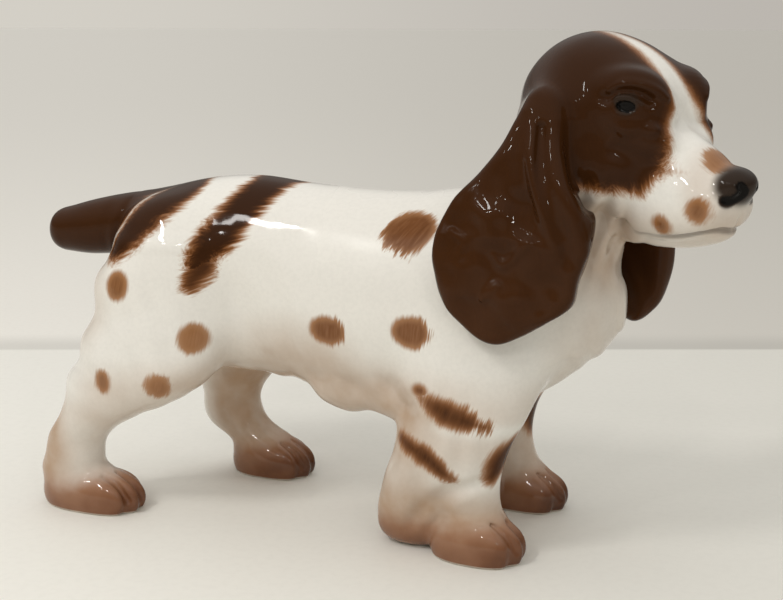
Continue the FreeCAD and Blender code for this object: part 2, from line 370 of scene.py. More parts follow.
HIND_BACK = [
    (6.0, -4.0, 0.0, 12.0, 7.6),
    (11.0, -7.0, 0.0, 10.3, 7.4),
    (16.0, -6.4, -0.3, 9.2, 7.2),
    (22.0, -4.6, -0.6, 9.2, 7.0),
    (28.0, 1.0, -1.0, 10.8, 7.6),
    (34.0, 8.5, -1.0, 15.6, 9.0),
    (43.0, 17.5, 0.0, 20.5, 11.0),
    (54.0, 20.8, 1.5, 20.2, 11.6),
    (66.0, 22.0, 4.0, 17.5, 10.5),
    (78.0, 23.0, 7.0, 13.0, 9.0),
]
HIND_FRONT = [
    (6.0, -2.0, 0.0, 10.5, 8.2),
    (11.0, -5.0, 0.0, 9.6, 7.8),
    (16.0, -10.5, 0.2, 9.0, 7.4),
    (22.0, -13.5, 0.5, 8.8, 7.0),
    (28.0, -13.0, 1.0, 9.6, 7.6),
    (35.0, -10.0, 2.0, 12.0, 9.0),
    (44.0, -8.0, 3.5, 16.0, 11.0),
    (56.0, -8.0, 5.0, 18.0, 11.6),
    (68.0, -9.0, 7.5, 16.0, 10.5),
    (78.0, -10.0, 10.5, 12.0, 9.0),
]


def paw(heel, toe, width, lift=0.0, rise=9.5):
    """A pad and four toes, with its sole at z = 0. The grooves are where the toes' balls meet."""
    length = toe - heel
    middle = (toe + heel) / 2
    lumps = [ball((middle - 1.5, 0, 3.5), (length / 2, width * 0.92, rise)).add(3)]
    for lane, forward in ((-0.62, -3.6), (-0.22, -0.4), (0.22, -0.4), (0.62, -3.6)):
        toe_x = toe - length * 0.24 + forward
        lumps.append(ball((toe_x, lane * width, 3.6), (length * 0.24, width * 0.3, 6.0)).add(1.6))
    for lane in (-0.42, 0.0, 0.42):
        x = toe - length * 0.2 - 5 * abs(lane)
        line = [(x - 2.0, 10.8 + lift, 0.1), (x + 2.0, 8.8 + lift, 0.4), (x + 5.6 + lift / 2, 4.0 + lift / 2, 0.5)]
        lumps.append(worm([(at, lane * width, up, radius) for at, up, radius in line], pieces=3).away(1.8))
    return lumps


def under_the_sole():
    """The board under a paw, cut away to leave the sole flat."""
    return Lump(lambda points: points[:, 2], (-60, -40, -30), (60, 40, 3)).away(0.8)


def fore_leg(node, at, rows, side):
    return Cast(node, [
        roll_out("z", [(z, x, side * y, rx, ry) for z, x, y, rx, ry in rows], 3).add(0),
        *paw(-12.5, 12.5, 9.0, lift=0.4),
        roll_out("z", [(z, x, side * y, rx, ry) for z, x, y, rx, ry in FEATHER], 3).add(2.5),
        worm([(x, side * y, z, r) for x, y, z, r in FOLD]).away(3.0),
        under_the_sole(),
    ], at=at, soft=8.0)


def hind_leg(node, rows, at, side, heel, toe, locks):
    return Cast(node, [
        roll_out("z", [(z, x, side * y, rx, ry) for z, x, y, rx, ry in rows], 3).add(0),
        *[lock.add(5) for lock in locks],
        *paw(heel, toe, 9.0),
        under_the_sole(),
    ], at=at, soft=8.0)


legs = [
    fore_leg("fore_leg_right", (33.0, -19, 0), FORE_RIGHT, 1),
    fore_leg("fore_leg_left", (36.5, 22, 0), FORE_LEFT, -1),
    hind_leg("hind_leg_right", HIND_BACK, (-84.5, -19.5, 0), 1, -16, 15.5, locks=[
        ball((26.0, 0, 43), (13, 9.0, 6.5), (0, -32, 0)),
        ball((14.5, 1, 67), (11.0, 8, 9)),
        ball((11.0, -0.5, 47), (12.0, 8.0, 6.5), (0, 25, 0)),
        ball((4.5, -0.5, 36.5), (11.0, 7.0, 5.5), (0, 20, 0)),
    ]),
    hind_leg("hind_leg_left", HIND_FRONT, (-46, 23.5, 0), -1, -12.5, 13.5, locks=[
        ball((-15.0, 0, 20), (7.5, 6, 6)),
        ball((-16.0, 0, 34), (9.5, 7, 8)),
    ]),
]

# %% [markdown]
# ## Tail
#
# The tail is docked: one short roll with a blunt end, luted on under the rump's paint.

# %% Tail
TAIL = [
    (-60.0, 0, 83.5, 9.6, 9.6),
    (-74.0, 0, 83.0, 9.0, 9.2),
    (-84.0, 0, 81.8, 8.4, 8.8),
    (-94.0, 0, 80.3, 7.6, 8.0),
    (-101.0, 0, 79.5, 6.4, 6.8),
    (-107.5, 0, 79.1, 5.2, 5.8),
]
tail = Cast("tail", [roll_out("x", TAIL, 6.0).add(0)], soft=2.5)

# %% [markdown]
# ## Head
#
# A ball for the skull and a longer one for the muzzle give the head its mass. The brow, the cheeks, the lips and the
# bridge of the nose come next, and then the small things a modeller does with a pointed tool: lids, eye, nostrils
# and the line of the mouth. It is all worked in the head's own axes and turned to face the viewer as a whole, so both
# sides stay alike.

# %% Head
HEAD_AT, HEAD_TURN = (61.5, -5.0, 118.0), (-30.0, 3.0, 0.0)
MOUTH = [
    (39.2, 0.3, -23.2, 0.5), (37.6, 4.2, -22.8, 0.5), (34.8, 6.6, -23.6, 0.5), (30.2, 8.1, -25.4, 0.5),
    (23.0, 8.6, -27.0, 0.5), (16.0, 7.8, -27.4, 0.5), (10.0, 6.6, -27.2, 0.4),
]
EYE = (14.7, 11.9, 4.2)
UPPER_LID = [(12.3, 14.2, 3.7, 0.35), (13.8, 15.0, 5.6, 0.65), (16.2, 14.2, 5.9, 0.7), (18.3, 12.2, 4.5, 0.45)]
LOWER_LID = [(12.3, 14.2, 3.5, 0.35), (14.2, 14.6, 2.4, 0.55), (16.5, 13.5, 2.4, 0.55), (18.3, 12.2, 4.1, 0.35)]
NOSTRIL = [(42.0, 3.6, -12.0, 0.5), (42.4, 2.9, -13.8, 0.9), (41.2, 4.6, -15.6, 0.8), (39.6, 5.8, -15.4, 0.4)]
head = Cast("head", [
    ball((-4, 0, 0.5), (20.5, 19.3, 19.7)).add(0),
    ball((7, 0, 1.5), (14.5, 15, 14)).add(6),
    ball((20.5, 0, -14), (19, 9.0, 10.5), (0, 8, 0)).add(7),
    ball((25, 0, -9.5), (14.5, 6.3, 6.0), (0, 28, 0)).add(4),
    *both(
        ball((12.5, 8.2, 3.0), (8.2, 6.2, 8.0)).add(6),
        ball((3, 10.5, -12), (14, 8.5, 10)).add(6),
        ball((18.5, 8.0, -4.5), (6, 3.6, 4.2)).add(5),
        ball((23.5, 6.0, -18.5), (15.5, 5.6, 8.6), (0, -3, 0)).add(4),
        worm([(8, 12.6, 8.0, 1.4), (13.5, 11.6, 9.6, 1.8), (18.5, 8.4, 8.4, 1.8), (21.5, 6.0, 3.5, 1.2)]).add(4),
    ),
    ball((34.8, 0, -19.6), (5.2, 6.0, 5.6)).add(3),
    ball((19.5, 0, -24.8), (18.6, 6.4, 5.8), (0, -5, 0)).add(2.5),
    *both(
        worm([(10.8, 15.9, 5.6, 0.2), (13.6, 15.6, 7.6, 0.3), (17.2, 13.3, 7.6, 0.3), (19.6, 10.6, 5.8, 0.2)]).away(3.0),
        worm([(12.4, 14.2, 0.2, 0.7), (15.6, 13.4, -1.3, 1.5), (18.8, 11.0, -0.8, 1.0)]).add(1.8),
        ball((15.6, 14.4, 4.1), (3.2, 2.2, 1.9), (38, 0, 0)).away(1.2),
        ball(EYE, (2.9, 2.8, 2.5)).add(0.25),
        worm(UPPER_LID).add(0.9),
        worm(LOWER_LID).add(0.9),
        worm([(14.5, 15.6, -6.5, 0.2), (18.5, 14.2, -7.8, 0.5), (24, 11.4, -9.6, 0.2)]).away(3.4),
        worm([(11.2, 15.2, 7.4, 0.3), (14.3, 14.2, 9.2, 0.6), (18.0, 12.1, 9.2, 0.6), (20.7, 10.0, 8.2, 0.5),
              (22.3, 8.0, 6.2, 0.3)]).add(1.5),
        ball((20.8, 10.8, -1.2), (2.0, 1.2, 1.3)).add(1.2),
    ),
    ball((37.8, 0, -12.6), (5.0, 6.4, 4.4)).add(2.0),
    worm([(43.0, 0, -16.6, 0.3), (41.6, 0, -18.6, 0.5), (39.2, 0, -22.4, 0.4)]).away(0.8),
    *both(
        worm(NOSTRIL).away(0.7),
        worm(MOUTH).away(1.2),
    ),
], at=HEAD_AT, turn=HEAD_TURN, soft=6.0)

# %% [markdown]
# ## Ears
#
# An ear is a flap of clay cut to an outline. The curve through a few corners gives the outline, a second function
# gives the middle of the flap, which leans, bows and ripples, and a third its thickness. A cloth simulation would
# hang more freely, but fired clay is thick, and its folds are drawn, so they are worms of clay here.

# %% Ears
def outline_distance(outline, points):
    """Signed distance to a closed polygon: the least distance to its sides, negative where the winding is odd."""
    a, b = outline, np.roll(outline, -1, axis=0)
    least = np.full(len(points), 1e9)
    odd = np.zeros(len(points), bool)
    for (ax, ay), (bx, by) in zip(a, b):
        ex, ey = bx - ax, by - ay
        wx, wy = points[:, 0] - ax, points[:, 1] - ay
        t = np.clip((wx * ex + wy * ey) / (ex * ex + ey * ey), 0, 1)
        least = np.minimum(least, (wx - t * ex) ** 2 + (wy - t * ey) ** 2)
        crosses = (ay > points[:, 1]) != (by > points[:, 1])
        if ey:
            odd ^= crosses & (points[:, 0] < ax + ex * (points[:, 1] - ay) / ey)
    return np.where(odd, -1.0, 1.0) * np.sqrt(least)


def closed_curve(corners, pieces=6):
    """A smooth closed curve through a few corners."""
    corners = np.array(corners, float)
    count = len(corners)
    padded = np.concatenate([corners[-2:], corners, corners[:3]])
    rows = np.column_stack([np.arange(-2, count + 3), padded])
    return smooth_rows(rows, np.arange(count * pieces) / pieces)


def leaf(corners, middle, thickness, low, high, rim=3.0):
    """A hanging flap: inside its outline in x and z, and within half a thickness of its middle surface in y."""
    outline = closed_curve(corners)

    def distance(points):
        edge = outline_distance(outline, points[:, [0, 2]])
        x, z = points[:, 0], points[:, 2]
        face = np.abs(points[:, 1] - middle(x, z)) - thickness(x, z) / 2
        return -melt(-edge, -face, rim)

    return Lump(distance, low, high)


EAR_RIGHT = [
    (40, 62.5), (46, 65), (52, 69), (57.5, 73), (59.5, 80), (61.5, 88), (61.5, 94), (59, 98), (56, 102),
    (54, 108), (52.5, 114), (51.5, 119), (49.5, 124), (45.5, 124), (42, 118), (38.5, 111), (33, 104), (27.5, 98),
    (23.5, 90), (22.5, 81), (25, 73), (30, 67), (35, 63.5),
]


def ear_right_middle(x, z):
    """Stands off over the shoulder, leans in to the skull above, bows out across its width and ripples."""
    lean = np.interp(z, [60, 75, 90, 100, 110, 120, 128], [-30.5, -31.5, -31, -28.5, -25.5, -22, -18])
    ripple = 0.55 * np.sin(0.36 * z + 0.22 * x) + 0.5 * np.sin(0.21 * z - 0.42 * x + 1.0)
    ripple += 0.25 * np.sin(0.75 * z + 0.5 * x) * np.sin(0.5 * x - 0.2 * z)
    return lean + 0.006 * (x - 42) ** 2 + ripple * np.interp(z, [60, 70, 98, 108], [0.5, 1, 1, 0.2])


ear_right = Cast("ear_right", [
    leaf(EAR_RIGHT, ear_right_middle, lambda x, z: np.interp(z, [60, 75, 100, 120], [5.0, 7.5, 9.0, 12.0]),
         (21, -40, 60), (63, -10, 128)).add(0),
    worm([(50.2, -24.5, 121, 0.8), (51.6, -28.6, 111, 1.7), (54.2, -32.0, 102, 2.1), (57.8, -32.6, 94, 1.8),
          (59.6, -32.2, 87, 1.0)]).add(3.0),
    worm([(46.6, -26.6, 119, 0.8), (47.6, -31.6, 109, 1.6), (50.0, -33.8, 100, 1.9), (52.6, -34.0, 92, 1.4),
          (54.0, -33.6, 86, 0.7)]).add(3.0),
    worm([(48.8, -29.0, 116, 0.5), (49.6, -33.6, 107, 0.9), (52.2, -36.0, 99, 1.1), (55.4, -36.2, 91, 0.7)]).away(2.2),
    worm([(28.3, -32.7, 90.4, 0.6), (31.5, -33.6, 88.0, 1.0), (30.0, -33.8, 85.0, 0.6)]).add(1.6),
    worm([(39.0, -34.0, 85.5, 0.5), (41.5, -34.2, 83.4, 1.0), (44.5, -34.4, 85.5, 0.9), (47.5, -35.4, 89.0, 0.8),
          (48.5, -35.4, 92.0, 0.5)]).add(1.6),
    worm([(36.5, -34.8, 74.6, 0.5), (38.2, -34.9, 76.4, 0.9), (40.2, -35.0, 78.4, 0.6)]).add(1.5),
    worm([(43.5, -35.2, 97, 0.4), (46.2, -35.8, 92.5, 0.9), (50, -36.6, 91, 0.9), (53.6, -37, 88.5, 0.4)]).away(2.0),
], soft=lambda points: np.interp(points[:, 2], [96, 118], [1.2, 9.0]))

EAR_LEFT = [
    (-9, -58.5), (-3.5, -57), (1.5, -51), (4.4, -42), (4.4, -31), (3.4, -18), (2, -8), (0, 0), (-4, 4), (-10, 2),
    (-16, -8), (-20, -20), (-24, -32), (-25, -42), (-21, -51), (-14, -57),
]
ear_left = Cast("ear_left", [
    leaf(EAR_LEFT, lambda x, z: np.interp(z, [-56, -30, -15, -5, 4], [22.5, 22.5, 21, 18.5, 15]) - 0.006 * (x + 8) ** 2,
         lambda x, z: np.interp(z, [-56, -40, -15, 0], [5.0, 7.0, 8.0, 10.0]),
         (-26, 8, -60), (9, 30, 6)).add(0),
], at=HEAD_AT, turn=(-30.0, 0.0, 0.0), soft=lambda points: np.interp(points[:, 2], [96, 118], [1.2, 9.0]))

CASTS = [torso, *legs, tail, head, ear_right, ear_left]


# %% [markdown]
# ## All nine casts as one surface
#
# Wet slip fills the joints and a sponge smooths them, so the glazed figure shows no seam. The casts are therefore
# blended into one before anything is meshed. The combing is the long hair: shallow ridges that follow a direction of
# growth and fade out at the edges of each tuft.

# %% The whole figure
def all_fields(points):
    return np.stack([cast.distance(points) for cast in CASTS])


def joined(points, fields):
    whole = fields[0]
    for cast, field in zip(CASTS[1:], fields[1:]):
        soft = cast.soft(points) if callable(cast.soft) else cast.soft
        whole = melt(whole, field, soft)
    return whole


# The modeller draws a soft tool through the clay in the way the coat lies: middle, radii, lie, wavelength, depth.
COMBED = [
    ((-66, 0, 52), (20, 40, 24), (0.25, 0, -1), 8.5, 0.30),
    ((-76, -10, 80), (10, 22, 11), (-0.5, 0.2, -1), 5.5, 0.22),
    ((-2, 0, 40), (36, 40, 9), (0.5, 0, -1), 9.5, 0.35),
    ((-30, 0, 62), (18, 40, 20), (0.35, 0, -1), 12.0, 0.30),
    ((60, 4, 72), (14, 34, 26), (0.2, 0.1, -1), 7.0, 0.35),
    ((20, -22, 34), (18, 16, 20), (-0.3, 0, -1), 7.5, 0.25),
    ((60, -14, 92), (13, 15, 16), (-0.25, 0, -1), 6.0, 0.55),
]


def combing(points):
    """Ridges across the lie of the coat: depth * sin(2 pi s / wavelength), with s bent slowly along the lie."""
    rise = np.zeros(len(points))
    for middle, radii, lie, wavelength, depth in COMBED:
        lie = np.array(lie) / np.linalg.norm(lie)
        across = np.cross(lie, (0, 1, 0))
        across /= np.linalg.norm(across)
        gap = (points - middle) / radii
        mask = np.clip(1.4 - np.sqrt((gap**2).sum(1)), 0, 0.7) / 0.7
        along, s = points @ lie, points @ across + 0.35 * points[:, 1]
        bend = 1.6 * np.sin(0.11 * along + 0.05 * s) + 0.9 * np.sin(0.23 * along - 0.13 * s + 2)
        rise += depth * mask**2 * np.sin(2 * np.pi * (s + bend) / wavelength)
    return rise


def figure(points, chunk=60000):
    """Distance to the whole animal, in chunks that are near each other in x, so that far casts are skipped."""
    parts = [points[i:i + chunk] for i in range(0, len(points), chunk)]
    return np.concatenate([joined(part, all_fields(part)) + combing(part) for part in parts])


# %% [markdown]
# ## From distances to triangles
#
# The figure is wrapped in a fine grid. Each cell that the surface crosses gets one point, and neighbouring cells are
# joined by squares: a surface net. The points are then slid onto the surface along its slope, and the same slope
# gives the normals, so the mesh shades as smoothly as glaze. Blender's own voxel remesh does something alike, but it
# needs a mesh to start from and doesn't keep thin edges.

# %% Mesh from the field
def net(field, low, high, step, rough=4, band=3.5):
    """Surface nets: one vertex in each cell that the surface crosses, at the mean of its edges' crossings.

    The field is worked out on a rough lattice first, and on the fine one only in the band near the surface.
    """
    count = np.ceil((high - low) / (step * rough)).astype(int) + 1
    axes = [low[i] + step * rough * np.arange(count[i]) for i in range(3)]
    grid = np.stack(np.meshgrid(*axes, indexing="ij"), -1).reshape(-1, 3)
    coarse = field(grid).reshape(count)
    fine = coarse
    for axis in range(3):
        fine = np.repeat(fine, rough, axis=axis)
    start = low - step * (rough - 1) / 2
    close = np.abs(fine) < band
    index = np.argwhere(close)
    fine[close] = field(start + index * step)
    print("lattice", fine.shape, "points near the surface", len(index))
    solid = fine < 0
    corner = [(i, j, k) for i in (0, 1) for j in (0, 1) for k in (0, 1)]
    view = [tuple(slice(o, n - 1 + o) for o, n in zip(c, fine.shape)) for c in corner]
    filled = sum(solid[v].astype(np.int8) for v in view)
    active = (filled > 0) & (filled < 8)
    number = np.full(active.shape, -1, np.int64)
    number[active] = np.arange(active.sum())
    cell = np.argwhere(active)
    values = np.stack([fine[v][active] for v in view], 1)
    total, hits = np.zeros((len(cell), 3)), np.zeros((len(cell), 1))
    for a in range(8):
        for b in range(a + 1, 8):
            if sum(p != q for p, q in zip(corner[a], corner[b])) != 1:
                continue
            va, vb = values[:, a:a + 1], values[:, b:b + 1]
            cross = (va < 0) != (vb < 0)
            t = np.where(cross, va / np.where(cross, va - vb, 1), 0)
            total += cross * (np.array(corner[a]) + t * (np.array(corner[b]) - np.array(corner[a])))
            hits += cross
    vertices = start + step * (cell + total / hits)
    quads = []
    for axis in range(3):
        u, v = (axis + 1) % 3, (axis + 2) % 3
        one, two = [slice(None)] * 3, [slice(None)] * 3
        one[axis], two[axis] = slice(0, -1), slice(1, None)
        edge = solid[tuple(one)] != solid[tuple(two)]
        at = np.argwhere(edge)
        at = at[(at[:, u] > 0) & (at[:, v] > 0) & (at[:, u] < fine.shape[u] - 1) & (at[:, v] < fine.shape[v] - 1)]
        ring = []
        for du, dv in ((-1, -1), (0, -1), (0, 0), (-1, 0)):
            where = at.copy()
            where[:, u] += du
            where[:, v] += dv
            ring.append(number[tuple(where.T)])
        ring = np.stack(ring, 1)
        out = solid[tuple(at.T)]
        quads.append(np.where(out[:, None], ring, ring[:, ::-1]))
    return vertices, np.concatenate(quads)


def slope(points, reach=0.05):
    """The field's gradient, by central differences."""
    parts = []
    for axis in range(3):
        step = np.zeros(3)
        step[axis] = reach
        parts.append((figure(points + step) - figure(points - step)) / (2 * reach))
    return np.stack(parts, 1)


# %% Model the animal
STEP = 0.58
low = np.min([cast.low for cast in CASTS], 0) + MARGIN - 3
high = np.max([cast.high for cast in CASTS], 0) - MARGIN + 3
points, quads = net(figure, low, high, STEP)
for _ in range(2):
    rise = slope(points)
    size = np.maximum((rise**2).sum(1), 0.05)
    points = points - np.clip(figure(points) / size, -0.6, 0.6)[:, None] * rise
normals = slope(points)
normals /= np.maximum(np.linalg.norm(normals, axis=1, keepdims=True), 1e-6)
fields = all_fields(points).T
triangles = np.concatenate([quads[:, [0, 1, 2]], quads[:, [0, 2, 3]]])
print("surface of", len(points), "points and", len(triangles), "triangles")


# %% [markdown]
# ## Cut it into its nine pieces
#
# Each point of the surface belongs to the cast whose own distance is smallest there. Where that changes, the mesh is
# cut, and both halves are closed with the same flat fan of triangles. The halves share their cut points, so no gap
# shows, and every piece is still a closed solid of its own.

# %% Cut along the casting joints
class Clay:
    """The whole mesh: points, normals and the casts' distances at each point. Cutting adds points to it."""

    def __init__(self, points, normals, fields):
        self.points, self.normals, self.fields = points, normals, fields

    def add(self, points, normals, fields):
        first = len(self.points)
        self.points = np.concatenate([self.points, points])
        self.normals = np.concatenate([self.normals, normals])
        self.fields = np.concatenate([self.fields, fields])
        return first + np.arange(len(points))


def loops_of(start, end, count):
    """Which closed loop each edge is on: every point takes the least number met by doubling its steps ahead."""
    ahead = np.arange(count)
    ahead[start] = end
    least = ahead.copy()
    for _ in range(int(np.ceil(np.log2(len(start) + 1))) + 1):
        least = np.minimum(least, least[ahead])
        ahead = ahead[ahead]
    return np.unique(least[start], return_inverse=True)


def cut(clay, triangles, flat, side):
    """Cut a closed mesh where `side` changes sign, and close both halves with the same fan of flat triangles.

    Each edge that changes sign gets one new point, at |a| / (|a| + |b|) of the way. A triangle with such edges
    becomes the tip beyond the line and two triangles behind it.
    """
    below = side < 0
    kind = below[triangles].sum(1)
    mixed = (kind > 0) & (kind < 3)
    part, part_flat = triangles[mixed], flat[mixed]
    lone_below = kind[mixed] == 1
    lone = (below[part] == lone_below[:, None]).argmax(1)
    row = np.arange(len(part))
    v0, v1, v2 = (part[row, (lone + i) % 3] for i in range(3))
    pairs = np.sort(np.concatenate([np.stack([v0, v1], 1), np.stack([v0, v2], 1)]), axis=1)
    edges, which = np.unique(pairs, axis=0, return_inverse=True)
    which = which.reshape(-1)
    a, b = edges.T
    t = np.clip(side[a] / (side[a] - side[b]), 0.03, 0.97)[:, None]
    blend = [values[a] + t * (values[b] - values[a]) for values in (clay.points, clay.normals, clay.fields)]
    blend[1] /= np.linalg.norm(blend[1], axis=1, keepdims=True)
    fresh = clay.add(*blend)
    m, n = fresh[which[:len(part)]], fresh[which[len(part):]]
    tips = np.stack([v0, m, n], 1)
    rests = np.concatenate([np.stack([m, v1, v2], 1), np.stack([m, v2, n], 1)])
    rests_below = np.concatenate([~lone_below, ~lone_below])
    rests_flat = np.concatenate([part_flat, part_flat])
    start, end = np.where(lone_below, m, n), np.where(lone_below, n, m)
    names, loop = loops_of(start, end, len(clay.points))
    sums = np.stack([np.bincount(loop, clay.points[start, i]) for i in range(3)], 1)
    middles = sums / np.bincount(loop)[:, None]
    hub = clay.add(middles, np.tile([0.0, 0.0, 1.0], (len(names), 1)), all_fields(middles).T)[loop]
    piece = [triangles[kind == 3], tips[lone_below], rests[rests_below], np.stack([end, start, hub], 1)]
    piece_flat = [flat[kind == 3], part_flat[lone_below], rests_flat[rests_below], np.ones(len(start), bool)]
    rest = [triangles[kind == 0], tips[~lone_below], rests[~rests_below], np.stack([start, end, hub], 1)]
    rest_flat = [flat[kind == 0], part_flat[~lone_below], rests_flat[~rests_below], np.ones(len(start), bool)]
    print("  closed with", len(names), "fans of", np.bincount(loop).tolist(), "edges")
    return [np.concatenate(p) for p in (piece, piece_flat, rest, rest_flat)]


clay = Clay(points, normals, fields)
flat = np.zeros(len(triangles), bool)
pieces = {}
left = list(range(len(CASTS)))
for cast_number in (7, 8, 6, 1, 2, 3, 4, 5):
    others = [k for k in left if k != cast_number]
    side = clay.fields[:, cast_number] - clay.fields[:, others].min(1)
    print("cutting off", CASTS[cast_number].node)
    made, made_flat, triangles, flat = cut(clay, triangles, flat, side)
    pieces[CASTS[cast_number].node] = (made, made_flat)
    left = others
pieces["torso"] = (triangles, flat)


# %% [markdown]
# ## Brushwork under the glaze
#
# The brown patches are laid on with a loaded brush. Every patch is a shape in space: what counts is a point's
# distance to its edge, how ragged the edge is, how deep the colour is and which way the bristles ran. Those numbers
# are stored on the mesh. A painted image would need unwrapping and would blur; numbers stay sharp at any distance.

# %% Paint
class Dab:
    """One patch of paint: where it lies, how the brush ran, how ragged (mm) and how deep (0 to 1) it is."""

    def __init__(self, shape, run, ragged, depth, sweep=None):
        self.shape, self.ragged, self.depth, self.sweep = shape, ragged, depth, sweep
        self.run = np.array(run, float) / np.linalg.norm(run)

    def raggedness(self, points):
        """Grows by 2.0 mm over the 5 mm after the start of the sweep, where the brush was lifted."""
        if self.sweep is None:
            return np.full(len(points), float(self.ragged))
        start, way = np.array(self.sweep[0], float), np.array(self.sweep[1], float)
        return self.ragged + 2.0 * np.clip((points - start) @ way / 5, 0, 1)


UPRIGHT = (0.12, 0, 1)
BODY_PAINT = [
    Dab(ball((-70, -27, 69), (3.7, 7, 4.4), (0, 8, 0)), UPRIGHT, 0.5, 0.40),
    Dab(ball((-47.6, -26, 55.4), (4.2, 7, 4.4), (0, 20, 0)), (0.3, 0, 1), 0.7, 0.27),
    Dab(ball((-74, -30, 42), (2.9, 8, 3.7)), UPRIGHT, 0.8, 0.38),
    Dab(ball((-57, -29, 42), (3.7, 8, 3.8), (0, 30, 0)), (0.3, 0, 1), 1.1, 0.30),
    Dab(ball((-8.6, -23, 60.2), (5.6, 8, 4.3)), UPRIGHT, 0.6, 0.44, ((-9, 0, 0), (1, 0, 0))),
    Dab(ball((15.6, -25, 62), (6.2, 8, 4.5)), UPRIGHT, 0.6, 0.44, ((15, 0, 0), (1, 0, 0))),
    Dab(ball((12.2, -17, 87), (7.4, 8, 5.8), (0, -25, 0)), (0.45, 0, 1), 1.2, 0.5, ((12, 0, 88), (-0.6, 0, -0.8))),
    Dab(ball((18, -26, 47), (2.6, 7, 2.0)), UPRIGHT, 0.3, 0.62),
    Dab(worm([(19.5, -26, 45.0, 2.4), (25, -28, 42.6, 3.6), (31, -29, 41, 3.4), (36, -28, 39.6, 2.2)]),
        (0.35, 0, 1), 1.1, 0.72, ((29, 0, 0), (1, 0, 0))),
    Dab(worm([(10.5, -24, 34, 1.8), (16, -27, 31.6, 3.0), (22, -28, 28.4, 3.4), (27, -28, 24.0, 2.2)]),
        (0.35, 0, 1), 1.1, 0.72),
    Dab(worm([(43, -20, 34.5, 3.4), (39.5, -23, 29.5, 4.8), (37.0, -24, 25.0, 3.0)]), (0.6, 0, 1), 0.9, 0.78),
    Dab(ball((39, 21, 29.5), (4.6, 8, 8.2)), UPRIGHT, 0.9, 0.75),
    Dab(ball((4, 24, 66), (6.0, 8, 4.8)), UPRIGHT, 0.6, 0.44),
    Dab(ball((-58, 26, 58), (4.4, 8, 4.8)), UPRIGHT, 0.6, 0.36),
    Dab(ball((-16, 26, 54), (4.6, 8, 3.8)), UPRIGHT, 0.8, 0.38),
    Dab(worm([(-26, 18, 86, 5), (-28, 12, 93, 6.6), (-30, 5, 97, 7.2), (-32, -4, 97, 7.2), (-35, -11, 93, 6.4),
              (-40, -17, 86, 6.2), (-45, -21, 80, 5.4), (-47, -23, 76, 4.4)]), (1, -0.1, 0.30), 1.8, 1.0),
    Dab(worm([(-45.5, -22, 75, 4.2), (-48.5, -24, 71, 3.8)]), (1, -0.1, 0.30), 1.8, 0.80),
    Dab(worm([(-60, 6, 97, 7), (-58, -6, 96, 7.4), (-61, -14, 91, 7.2), (-67, -20, 84, 6.4), (-73, -23, 79, 5.0)]),
        (0.85, -0.25, 0.5), 1.4, 1.0),
    Dab(worm([(-80, 0, 90, 9), (-66, 2, 96, 9.5), (-56, 3, 98, 6.4)]), (0.85, -0.25, 0.5), 2.0, 1.0),
    Dab(worm([(-114, 0, 79, 13), (-84, -3, 82, 12), (-74, -8, 85, 9)]), (1, 0, 0.1), 0.6, 0.95),
    Dab(ball((34, 0, 108), (14, 15, 14)), (0.6, 0, -1), 1.5, 1.0),
]
WHITE_FACE = [
    worm([(-4, -1.0, 21.5, 0.8), (4, -1.2, 19.5, 1.3), (11, -1.5, 16.5, 2.0), (16, -1.6, 13, 2.7), (20, -1.4, 8, 3.2),
          (22, -1.0, 3, 4.4), (25, -0.5, -4, 7.0), (30, 0, -12, 9.5)]),
    ball((34.6, 0, -26), (19.5, 22, 18.5)),
]
FACE_PAINT = [
    Dab(ball((26, -11, -23), (2.7, 6, 2.7)), (0.2, 0, 1), 0.6, 0.42),
    Dab(ball((35, -9, -18.2), (2.9, 5, 3.2)), (0.5, 0, 1), 0.8, 0.42),
    Dab(ball((25, 11, -21), (2.7, 6, 2.7)), (0.2, 0, 1), 0.6, 0.42),
    Dab(ball((34.5, -0.5, -8), (5.2, 5.4, 4.6)), (1, 0, -0.4), 1.2, 0.3),
]
EAR_RUN = (0.12, 0, -1)


def brush_place(points, outward, run):
    """With u the way the brush ran, laid flat on the surface (u - (u.n) n, then made a unit again), the place is
    p - 11/12 (p.u) u, so that anything drawn over it is 12 times longer along the stroke than across."""
    flat_run = run - (run * outward).sum(1, keepdims=True) * outward
    flat_run /= np.maximum(np.linalg.norm(flat_run, axis=1, keepdims=True), 1e-6)
    return points - 11 / 12 * (points * flat_run).sum(1, keepdims=True) * flat_run


def painted(dabs, points, outward):
    """The nearest patch at each point: distance to its edge, raggedness, depth, and place in the brush's axes."""
    edge, ragged, depth = np.full(len(points), FAR), np.zeros(len(points)), np.zeros(len(points))
    place = points.copy()
    for dab in dabs:
        middle = (dab.shape.low + dab.shape.high) / 2
        near = inside(points, dab.shape.low - MARGIN, dab.shape.high + MARGIN)
        found = dab.shape.distance(points[near])
        best = found < edge[near]
        where = np.flatnonzero(near)[best]
        edge[where], depth[where] = found[best], dab.depth
        ragged[where] = dab.raggedness(points[where])
        run = np.tile(dab.run, (len(where), 1))
        place[where] = middle + brush_place(points[where] - middle, outward[where], run)
    return edge, ragged, depth, place


def paint_body(points, outward):
    return painted(BODY_PAINT, points, outward)


